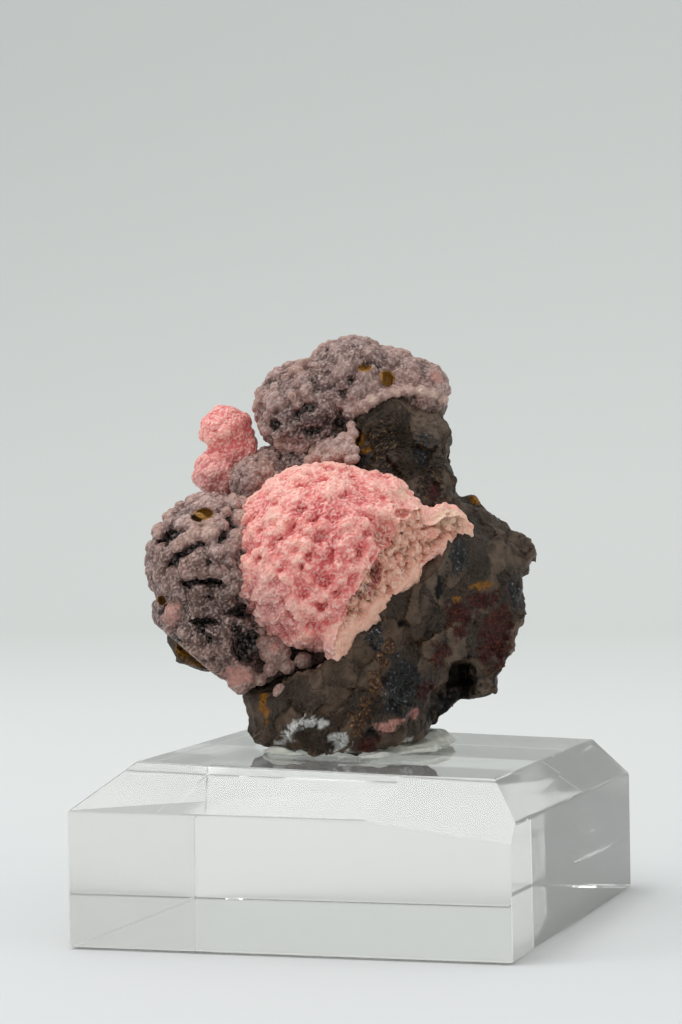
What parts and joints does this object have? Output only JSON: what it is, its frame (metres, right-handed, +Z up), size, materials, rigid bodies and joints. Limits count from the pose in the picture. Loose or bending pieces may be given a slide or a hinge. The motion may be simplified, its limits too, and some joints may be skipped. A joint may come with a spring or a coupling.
{
  "type": "rhodochrosite specimen",
  "caption": "Pink and mauve rhodochrosite crusts on dark goethite, set with mineral tack on a clear bevelled acrylic display block.",
  "frame": {"origin": "centre of the box round the part, at the underside of the display block", "axes": "+Z up, -Y towards the front of the display block, +X to its right"},
  "size_m": [0.0658, 0.0684, 0.0873],
  "materials": {
    "clear_acrylic": "polished",
    "mineral_tack": "satin",
    "goethite": "satin",
    "pink_rhodochrosite": "satin",
    "mauve_rhodochrosite": "satin"
  },
  "bodies": {
    "root": {"display_block": "clear_acrylic", "mineral_tack": "mineral_tack", "goethite_matrix": "goethite", "pink_druse": "pink_rhodochrosite", "pink_knob": "pink_rhodochrosite", "left_mauve_druse": "mauve_rhodochrosite", "middle_mauve_druse": "mauve_rhodochrosite", "top_mauve_druse": "mauve_rhodochrosite", "hollow_beads": "mauve_rhodochrosite"}
  },
  "joints": []
}
